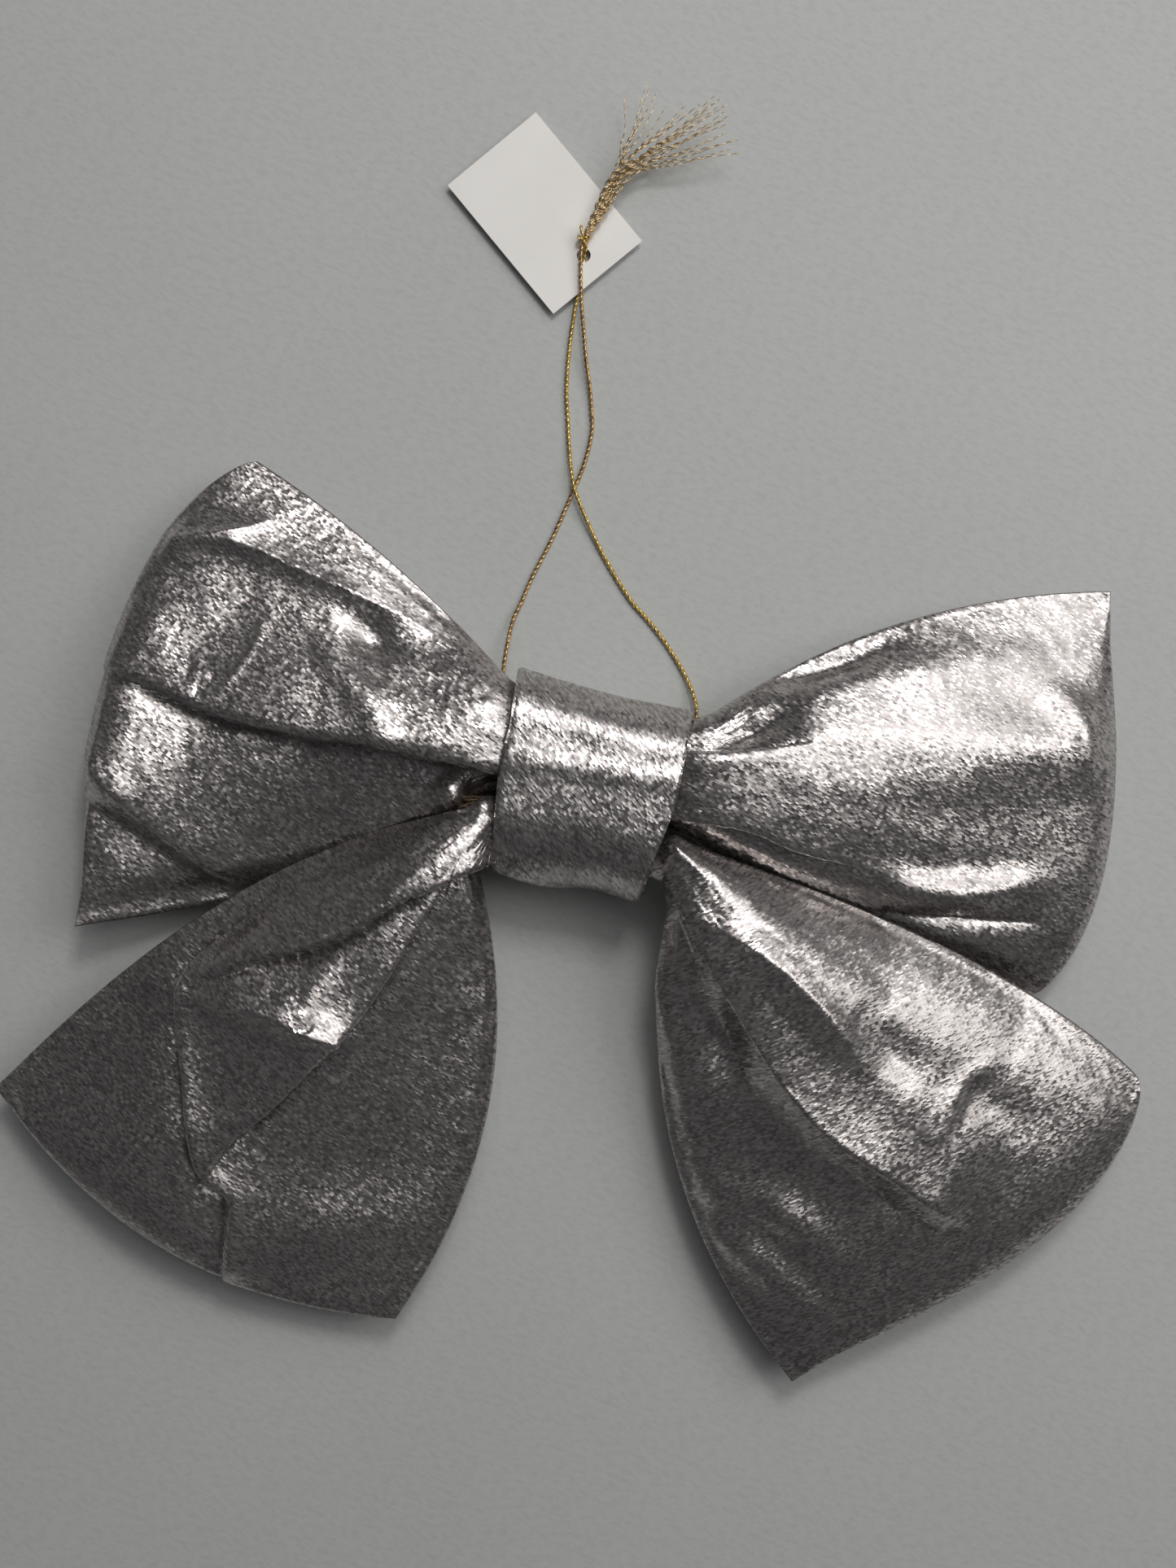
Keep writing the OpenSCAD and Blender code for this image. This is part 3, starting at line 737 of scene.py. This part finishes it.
# What is said of each wing, with plan positions and heights in millimetres:
#   side           -1 for a left wing and 1 for a right one
#   gather         bottom, top, middle height and half thickness of the gathered end
#   top, low       the two outer corners
#   bows, peaks    how far the top edge, the outer fold and the bottom edge bow out, and where
#   top_z, low_z   heights of the top and bottom edges, at equal steps from the knot outwards
#   loft           extra fullness of the front in the middle of the wing
#   turn, seed     direction of the twill in degrees, and the seed of the crinkles
#   flat_back      1 where the back lies flat towards the top edge
#   under          the wing that lies over this one's bottom edge
#   profile        fullness of the front across the wing, as (v, fullness)
#   folds          what is laid into the front, with each fold's line from its first to its last point
WINGS = {
    "upper_left": SimpleNamespace(
        side=-1, gather=(-6.8, 19, 15.8, 10.8), top=(-74.8, 73), low=(-115, -32),
        bows=(2.5, 15.5, 6.5), peaks=(0.5, 0.63, 0.4),
        top_z=(15.8, 15, 14, 12, 10), low_z=(15.8, 12, 9, 8, 14),
        loft=4.0, turn=35, seed=11, flat_back=0, under="lower_left",
        profile=((0, 0), (0.08, 0.5), (0.3, 0.85), (0.45, 1.0), (0.6, 0.90), (0.78, 0.52), (1, 0)),
        folds=[
            tuck([(-108, 26), (-98, 22), (-86.6, 17), (-76, 13.6), (-64, 10.9), (-51.6, 9.1), (-38.5, 6.9),
                  (-21, 3), (-14, 2)], (0.8, 2.4, 3.0, 2.6, 2.2), 12, 9, 0.9),
            valley([(-92, 54), (-77.7, 56.3), (-69, 60.3)], (-0.6, -1.0, 0), 3, 3),
            valley([(-92, 54), (-77.7, 52.9), (-65.5, 47.7), (-51.6, 41.5), (-36.5, 34), (-22, 24)],
                   (-0.8, -1.6, -1.4, -0.5, 0), 7, 4),
            bump((-47.3, 31.9), (6, 4.5), -1.1, -40),
            ridge([(-58, 35), (-56, 27), (-48, 18), (-44, 10)], (0, 0.5, 0.5, 0.3), 3.4),
            ridge([(-70.5, 36), (-74, 29), (-77, 24), (-80.5, 19)], (0, 0.12, 0.12, 0.05), 0.9),
            valley([(-113, 10), (-101, -6), (-88, -16), (-75, -23)], (-2.4, -3.8, -3.6, -0.6), 13, 14),
            valley([(-117, -2), (-104, -9), (-92, -18), (-80, -27)], (1.6, 3.6, 3.6, 2.4), 5, 15),
            ridge([(-30, -2), (-37, -6), (-47, -11)], (1.8, 1.4, 0.4), 3.0),
        ]),
    "upper_right": SimpleNamespace(
        side=1, gather=(-6.8, 19, 15.8, 10.8), top=(118.3, 43.6), low=(100.5, -48),
        bows=(7, 11, 4.0), peaks=(0.5, 0.35, 0.5),
        top_z=(15.8, 14, 12, 11, 10), low_z=(15.8, 13, 10, 8, 8),
        loft=6.0, turn=28, seed=12, flat_back=0, under="lower_right",
        profile=((0, 0), (0.06, 0.55), (0.15, 0.82), (0.32, 0.95), (0.5, 1.0), (0.65, 0.93), (0.85, 0.60),
                 (1, 0)),
        folds=[
            tuck([(50, 9.5), (42.3, 8.2), (30.5, 6.9), (21, 6.4), (14, 6.4)], (0, 0.8, 1.8, 2.2, 2.2), 7, 5),
            bump((35, 13), (9, 4.0), -2.0, 20),
            tuck([(14, -6), (20.8, -7.1), (27.8, -8.2), (36.7, -10.4), (43, -13.6), (52.5, -16.7), (60, -18)],
                 (1.0, 1.8, 1.6, 0.8, 0), 6, 5),
            ridge([(100, 21.5), (106, 17.5), (109.3, 12), (109.8, 5), (106.4, 0)],
                  (0.2, 0.7, 0.9, 0.7, 0.2), 4.0),
            bump((96, 7), (20, 8), 1.2, 5),
            ridge([(62, -20), (72, -23), (84, -24), (96, -22.5), (102, -22)], (0.2, 1.1, 1.6, 1.2, 0.2), 3.6),
            valley([(66, -29), (79, -31), (99.5, -31)], (0.6, 1.8, 0.6), 2.2, 2.2),
            bump((55, 27), (12, 2.4), -1.0, 18),
        ]),
    "lower_left": SimpleNamespace(
        side=-1, gather=(-18.4, -7.2, 15.2, 9.4), top=(-134, -68.5), low=(-43.6, -121),
        bows=(10, 12.7, 12), peaks=(0.45, 0.5, 0.5),
        top_z=(21, 20, 17, 13, 10), low_z=(15, 12, 10, 10, 10),
        loft=5.0, turn=38, seed=13, flat_back=1, under=None,
        profile=((0, 0), (0.035, 0.28), (0.15, 0.40), (0.3, 0.58), (0.48, 0.86), (0.62, 1.0), (0.8, 0.78),
                 (1, 0)),
        folds=[
            tuck([(-85, -86), (-78.2, -78.4), (-67.8, -69.2), (-57.3, -57.5), (-48.2, -47.1), (-39, -32.7),
                  (-29.6, -20.3), (-22.4, -14.7), (-16, -11)], (0.3, 2.6, 3.5, 3.1, 2.2, 1.3), 7, 3, 0.5),
            tuck([(-73, -27.5), (-86, -39.2), (-89.3, -49.7), (-88.9, -62.7), (-87.3, -79.7), (-84.7, -87.5),
                  (-80.2, -91.4), (-80.2, -98), (-82.1, -110)],
                 (0.4, 1.9, 2.5, 2.5, 2.3, 1.7, 1.3), 6, 3),
            tuck([(-84.7, -44.4), (-78.6, -41.9), (-67.8, -37.9), (-52.1, -32.7), (-36.4, -22.3),
                  (-22.1, -15.7), (-16, -12)], (0.2, 1.4, 2.2, 2.2, 1.8, 1.2), 6.5, 4.5),
            valley([(-88, -47), (-72, -49), (-57, -54), (-50, -60)], (-1.2, -2.8, -3.0, 0), 12, 5),
            bump((-79, -34), (9, 2.5), -1.2, 40),
            bump((-60, -99), (18, 8), 1.0, 5),
        ]),
    "lower_right": SimpleNamespace(
        side=1, gather=(-18.4, -7.2, 15.2, 9.4), top=(124.6, -66.8), low=(46.2, -135.2),
        bows=(6, 13, 13), peaks=(0.6, 0.65, 0.5),
        top_z=(21, 20, 17, 13, 10), low_z=(15, 12, 10, 10, 10),
        loft=5.0, turn=-20, seed=14, flat_back=1, under=None,
        profile=((0, 0), (0.07, 0.5), (0.25, 0.78), (0.45, 0.96), (0.6, 1.0), (0.75, 0.86), (0.9, 0.50),
                 (1, 0)),
        folds=[
            valley([(14, -22), (20.5, -26), (33, -33.5), (46.5, -45), (62, -63.5)],
                   (0, -0.8, -2.0, -1.8, -0.2), 9, 5),
            valley([(13, -22), (21.5, -26.5), (27.5, -38), (37, -54), (50, -72), (63, -82.5), (77, -93),
                    (87.5, -98.7)], (0, -0.9, -2.4, -3.2, -3.8, -4.0, -3.2, -0.2), 14, 7),
            valley([(55, -82), (68, -93), (79, -99)], (0.4, 1.6, 0.6), 4.0, 4.0),
            bump((30, -57), (5, 11), -2.4, 15),
            ridge([(12, -28), (15, -42), (18, -55)], (0.8, 1.2, 0.4), 3.0),
            bump((66, -58), (5, 12), -0.7, 55),
            bump((88, -70), (5, 11), -0.8, 55),
            ridge([(76, -76), (82, -66), (88, -62)], (0.1, 0.5, 0.2), 2.4),
            ridge([(30, -90), (42, -94), (56, -106)], (0.6, 1.4, 0.4), 5.0),
            ridge([(28, -102), (38, -106), (50, -118)], (0.4, 1.0, 0.4), 4.0),
        ]),
}

STUFFING_STEPS = 20
STUFFING_PRESSURE = 3.0
SEAM_HOLD = 0.75
NECK_EASE = 5
FARTHEST = 4.0
SETTLING = 0.3


def simulate(w, front, back):
    """Stuffs the pouch by cloth simulation, with its gathered end and seams held, and keeps part of that."""
    points, faces, index, under = pouch_parts(front, back)
    piece = mesh_object("sim_" + w.name, points * MM, faces)
    pinned = piece.vertex_groups.new(name="held")
    weight = np.zeros(len(points))
    hold = np.clip(1 - (np.arange(len(index)) - len(NECK_X)) / NECK_EASE, 0, 1)
    for grid in (index, under):
        weight[grid] = np.maximum(weight[grid], hold[:, None])
    for seam in (index[:, 0], index[:, -1]):
        weight[seam] = np.maximum(weight[seam], SEAM_HOLD)
    weight[index[-1, [0, -1]]] = 1
    for value in np.unique(weight[weight > 0]):
        pinned.add(np.flatnonzero(weight == value).tolist(), float(value), "REPLACE")
    cloth = piece.modifiers.new("stuffing", "CLOTH")
    settings = cloth.settings
    settings.vertex_group_mass = "held"
    settings.quality = 6
    settings.mass = 0.15
    settings.tension_stiffness = 25
    settings.compression_stiffness = 25
    settings.shear_stiffness = 12
    settings.bending_stiffness = 0.15
    settings.use_pressure = True
    settings.uniform_pressure_force = STUFFING_PRESSURE
    settings.shrink_min = -0.006
    settings.effector_weights.gravity = 0
    settings.use_internal_springs = False
    cloth.collision_settings.use_collision = False
    cloth.collision_settings.use_self_collision = False
    scene = bpy.context.scene
    for frame_number in range(1, STUFFING_STEPS + 1):
        scene.frame_set(frame_number)
    settled = piece.evaluated_get(bpy.context.evaluated_depsgraph_get()).data
    moved = np.zeros(len(points) * 3)
    settled.vertices.foreach_get("co", moved)
    moved = moved.reshape(-1, 3) / MM
    scene.frame_set(1)
    bpy.data.objects.remove(piece)
    step = moved - points
    far = np.linalg.norm(step, axis=1)[:, None]
    step *= SETTLING * np.minimum(1, FARTHEST / np.maximum(far, 1e-9))
    moved = points + step
    moved[:, 2] = np.maximum(moved[:, 2], 0.2)
    return moved[index], moved[under]


def sheet_normals(grid, sign):
    """Outward normals of a grid."""
    du, dv = np.gradient(grid, axis=0), np.gradient(grid, axis=1)
    n = np.cross(du, dv) * sign
    return n / np.maximum(np.linalg.norm(n, axis=2)[..., None], 1e-9)


FOLD_STRENGTH = 2.0
WING_LENGTH = 110
PLEAT_HEIGHT, PLEATS_FADE = 0.7, 0.16
SWELL_HEIGHT = 0.12
STREAK_HEIGHT = 0.085
CRINKLE_HEIGHT = 0.10


def detailed(w, front, back, u, v):
    """The settled wing at full resolution, with its folds, pleats and crinkles."""
    front, back = finer(front, FINE), finer(back, FINE)
    u, v = finer(u, FINE), finer(v, FINE)
    for sheet, is_front in ((front, True), (back, False)):
        plan = sheet[..., :2].copy()
        normal = sheet_normals(sheet, w.side if is_front else -w.side)
        inward = smoothstep(np.minimum(v, 1 - v) / 0.05) * smoothstep((1 - u) / 0.04)
        soft = lerp(0.25, 1, inward)
        height = np.zeros(u.shape)
        if is_front:
            for fold in w.folds:
                height += FOLD_STRENGTH * fold(plan) * soft
        length = np.linalg.norm(np.array(w.top) - np.array(w.low))
        along, across = u * WING_LENGTH, v * length
        pleats = gradient_noise(v * 4.5 + 0.4 * gradient_noise(u * 4, v * 3, w.seed + 5), u * 1.5, w.seed)
        height += PLEAT_HEIGHT * pleats * np.exp(-np.maximum(u, 0) / PLEATS_FADE) * inward * (u > -0.1)
        wide = gradient_noise(along / 16, across / 11, w.seed + 1)
        height += SWELL_HEIGHT * wide * inward
        patch = np.clip(gradient_noise(along / 22, across / 22, w.seed + 2) * 1.3 + 0.35, 0, 1)
        warp = 1.2 * gradient_noise(along / 7, across / 9, w.seed + 3)
        streaks = gradient_noise((along + warp) / 1.9, across / 6.5, w.seed + 4)
        height += STREAK_HEIGHT * streaks * lerp(0.1, 1, patch)
        fine = gradient_noise((along - warp) / 4.2, across / 9, w.seed + 6)
        height += CRINKLE_HEIGHT * fine * lerp(0.3, 1, patch) * inward
        sheet += normal * height[..., None]
        sheet[..., 2] = np.maximum(sheet[..., 2], 0.15)
    back[:, 0], back[:, -1], back[-1] = front[:, 0], front[:, -1], front[-1]
    return front, back


PRESS_GAP = 0.5
PRESS_SLOPE = 2.0
PRESS_REACH = 7.0
LAYER_THICK = 1.2


def pressed_under(front, back, other):
    """Lowers the part of a wing that lies behind the wing below it, and eases it down beside that edge."""
    over = BVHTree.FromPolygons(*pouch_parts(other.front, other.back)[:2])
    rim = spline(other.front[len(NECK_X) * FINE:, -1], 1.0)
    for sheet, thick in ((front, 0.0), (back, LAYER_THICK)):
        flat = sheet.reshape(-1, 3)
        for k in np.flatnonzero(flat[:, 2] > 2):
            x, y, z = flat[k]
            if abs(x) < GATHER_X * 0.9:
                continue
            gap = rim[:, :2] - (x, y)
            away = np.hypot(gap[:, 0], gap[:, 1])
            near = int(away.argmin())
            if away[near] > PRESS_REACH:
                continue
            hit = over.ray_cast(Vector((x, y, -5)), Vector((0, 0, 1)))[0]
            limit = (hit.z if hit else rim[near, 2] + PRESS_SLOPE * away[near]) - PRESS_GAP - thick
            flat[k, 2] = max(0.3, min(z, limit))
    return front, back


def make_wing(name, w):
    """One padded wing, which stands for its cover and its wadding."""
    w.name = name
    front, back, u, v = wing_sheets(w)
    front, back = simulate(w, front, back)
    front, back = detailed(w, front, back, u, v)
    if w.under:
        front, back = pressed_under(front, back, WINGS[w.under])
    w.front, w.back = front, back
    points, faces, _, _ = pouch_parts(front, back)
    if w.side < 0:
        faces = [f[::-1] for f in faces]
    fabric = satin("satin_" + name, math.radians(w.turn), WING_TONE)
    piece = mesh_object(name + "_wing", points * MM, faces, fabric)
    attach(piece, "bow")
    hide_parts(name + "_cover", name + "_wadding")


# The lower wings come first, because the upper ones are pressed under them
for wing in ("lower_left", "lower_right", "upper_left", "upper_right"):
    make_wing(wing, WINGS[wing])

# ---------- knot band ----------

# The knot's own frame, in millimetres: c runs from -1 at its left end to 1 at its right end, v goes up the
# bow and z out of its front
BAND_FLAT, BAND_R, BAND_WALL = 8.0, 15.0, 1.1
BAND_HALF = 19.1
BAND_TAPER = 0.95
BAND_REACH = BAND_FLAT + BAND_R
HEM_FROM = 0.955
PADDING_THICK = 1.8
PADDING_GAP = 0.35
PADDING_INSET = 1.2


def band_section(t):
    """Outline of the band's section at t from 0 to 1: v, z and the outward direction."""
    arc = math.pi * BAND_R
    straight = 2 * BAND_FLAT
    s = (t % 1) * 2 * (arc + straight)
    v, z, nv, nz = [np.zeros_like(s) for _ in range(4)]
    pieces = ((0, straight), (straight, arc), (straight + arc, straight), (2 * straight + arc, arc))
    for k, (start, size) in enumerate(pieces):
        here = (s >= start) & (s < start + size + 1e-9)
        d = s[here] - start
        if k == 0:
            v[here], z[here], nv[here], nz[here] = BAND_FLAT - d, BAND_R, 0, 1
        elif k == 2:
            v[here], z[here], nv[here], nz[here] = -BAND_FLAT + d, -BAND_R, 0, -1
        else:
            a = math.pi / 2 + d / BAND_R + (0 if k == 1 else math.pi)
            middle = -BAND_FLAT if k == 1 else BAND_FLAT
            nv[here], nz[here] = np.cos(a), np.sin(a)
            v[here], z[here] = middle + BAND_R * np.cos(a), BAND_R * np.sin(a)
    return v, z + BAND_R, nv, nz


def slouched(x, y, c, v):
    """The knot's lean: its right end hangs lower at the top and is pinched in at the bottom."""
    lean, sag, wave, pinch = 2.4, 0.9, 0.5, 1.6
    high, low = smoothstep(v / 21), smoothstep(-v / 21)
    y = y - high * (lean * (c + 1) / 2 + sag * (1 - c * c)) + low * wave * math.sin(4.2 * c)
    return x - low * pinch * max(0, c), y


def closed_band(name, rings, material):
    """A ring-shaped piece closed both along and round, from rings of points in millimetres."""
    rings = np.array(rings)
    index = np.arange(rings.shape[0] * rings.shape[1]).reshape(rings.shape[:2])
    after = np.roll(index, -1, axis=0)
    corners = (index, after, np.roll(after, -1, axis=1), np.roll(index, -1, axis=1))
    faces = np.stack([k.ravel() for k in corners], axis=1).tolist()
    return mesh_object(name, rings.reshape(-1, 3) * MM, faces, material)


def make_knot_padding():
    """The sheet of wadding that fills the band, following its lean."""
    around = 160
    v, z, nv, nz = band_section(np.arange(around) / around)
    outer = -BAND_WALL - PADDING_GAP
    inner = outer - PADDING_THICK
    rings = []
    for c, lift in ((-1, inner), (-1, outer), (-0.5, outer), (0, outer), (0.5, outer), (1, outer), (1, inner),
                    (0, inner)):
        x = c * (BAND_HALF - PADDING_INSET)
        px, py = turned(*slouched(x, v + nv * lift, c, v), KNOT_TURN)
        rings.append(np.stack([px, py, z + nz * lift], axis=1))
    white = dull_thread("polyester_wadding", (0.86, 0.86, 0.84), (0.74, 0.74, 0.72))
    return closed_band("knot_padding", rings, white)


def band_relief(c, x, v, nv, nz):
    """Outer surface of the band: soft swells, two long folds, fine crinkles, a crease and a bottom lip."""
    top = np.clip(nz, 0, 1)
    swell = 0.22 * gradient_noise(np.full_like(v, c * 1.6), v / 9.0, 31) * (1 - c ** 6)
    fold = 0.40 * np.exp(-((v - 3.0 - 0.06 * c * 19) / 2.6) ** 2) * top
    hollow = -0.45 * np.exp(-((v - 9.5) / 3.2) ** 2) * top
    crinkle = 0.07 * gradient_noise(np.full_like(v, c * 12), v / 1.6, 32)
    crease_x = lerp(0.4, -1.8, (v + 20.7) / 12)
    crease_fade = smoothstep((-8.0 - v) / 4) * top ** 0.2 * (nz > -0.2)
    crease = -0.75 * np.exp(-np.abs(x - crease_x) / 0.55) * crease_fade
    lip = np.exp(-((nz + 0.15 + 0.18 * np.sin(c * 3.4 + 0.6)) / 0.30) ** 2) * (nv < 0)
    return swell + fold + hollow + crinkle + crease + 0.9 * lip * (1 - c ** 8)


def make_knot():
    """The padded band: a closed tube of folded satin with rounded hems."""
    around, wide = 220, 46
    v, z, nv, nz = band_section(np.arange(around) / around)
    across = np.linspace(-1, 1, wide)
    hem = np.sqrt(np.clip(1 - ((np.abs(across) - HEM_FROM) / (1 - HEM_FROM)).clip(0) ** 2, 0, 1))
    half = BAND_HALF + BAND_TAPER * np.clip(v / BAND_REACH, -1, 1)
    rings = []
    for face in (1, -1):
        for c, h in zip(across[::face], hem[::face]):
            x = c * half + 0.30 * np.sin(v / 5.1 + 1.3 * np.sign(c)) * abs(c) ** 3
            lift = BAND_WALL / 2 * (face * h - 1)
            if face == 1:
                lift = lift + band_relief(c, x, v, nv, nz)
            px, py = turned(*slouched(x, v + nv * lift, c, v), KNOT_TURN)
            rings.append(np.stack([px, py, np.maximum(z + nz * lift, 0.02)], axis=1))
    return closed_band("knot_wrap", rings, satin("satin_knot", math.radians(52), KNOT_TONE))


knot_wrap = make_knot()
knot_padding = make_knot_padding()

# ---------- frayed raw edges beside the knot ----------

FRAYS = 34


def make_frays():
    """Loose warp threads of the raw gathered edges, between the two left wings."""
    random = np.random.default_rng(9)
    parts = []
    for _ in range(FRAYS):
        root = np.array([random.uniform(-24, -20), random.uniform(-5.5, -2.5), random.uniform(17, 20)])
        reach = random.uniform(3, 9)
        heading = math.radians(random.uniform(165, 205))
        tip = root + (reach * math.cos(heading), reach * math.sin(heading), random.uniform(-1, 2.5))
        middle = lerp(root, tip, 0.5) + random.normal(0, 0.7, 3)
        path = spline([root, middle, tip], 0.4)
        parts.append(tube_parts(path * MM, random.uniform(0.05, 0.09) * MM, 4))
    points, faces = joined(parts)
    brown = dull_thread("raw_thread", (0.42, 0.30, 0.20), (0.20, 0.13, 0.08))
    return mesh_object("raw_edge_threads", points, faces, brown)


frays = make_frays()

# ---------- materials of the CAD nodes that stay ----------

grey_thread = dull_thread("sewing_thread", (0.30, 0.28, 0.27), (0.16, 0.15, 0.14))
for name in ("upper_gathering_thread", "lower_gathering_thread", "knot_stitches"):
    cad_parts[name].data.materials.clear()
    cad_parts[name].data.materials.append(grey_thread)

# ---------- what each piece rides on and stands for ----------

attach(knot_wrap, "bow")
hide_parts("knot_band")
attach(knot_padding, "bow")
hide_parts("knot_wadding")
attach(frays, "bow")
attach(inner_cord, "bow")
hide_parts("cord_in_knot")
for piece, nodes in ((left_strand, ["cord_left_strand"]), (right_strand, ["cord_right_strand"]),
                     (overhand_knot, ["cord_knot"]), (tassel, ["cord_tassel"])):
    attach(piece, "hang_loop")
    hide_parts(*nodes)
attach(tag, "tag")
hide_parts("hang_tag")

# ---------- floor ----------

FLOOR_SIZE = 4
FLOOR_Z = -0.0001

bpy.ops.mesh.primitive_plane_add(size=FLOOR_SIZE, location=(0, 0, FLOOR_Z))
floor = bpy.context.object
floor.name = "table_top"
floor.data.materials.append(table_top("grey_board"))

bpy.context.view_layer.update()
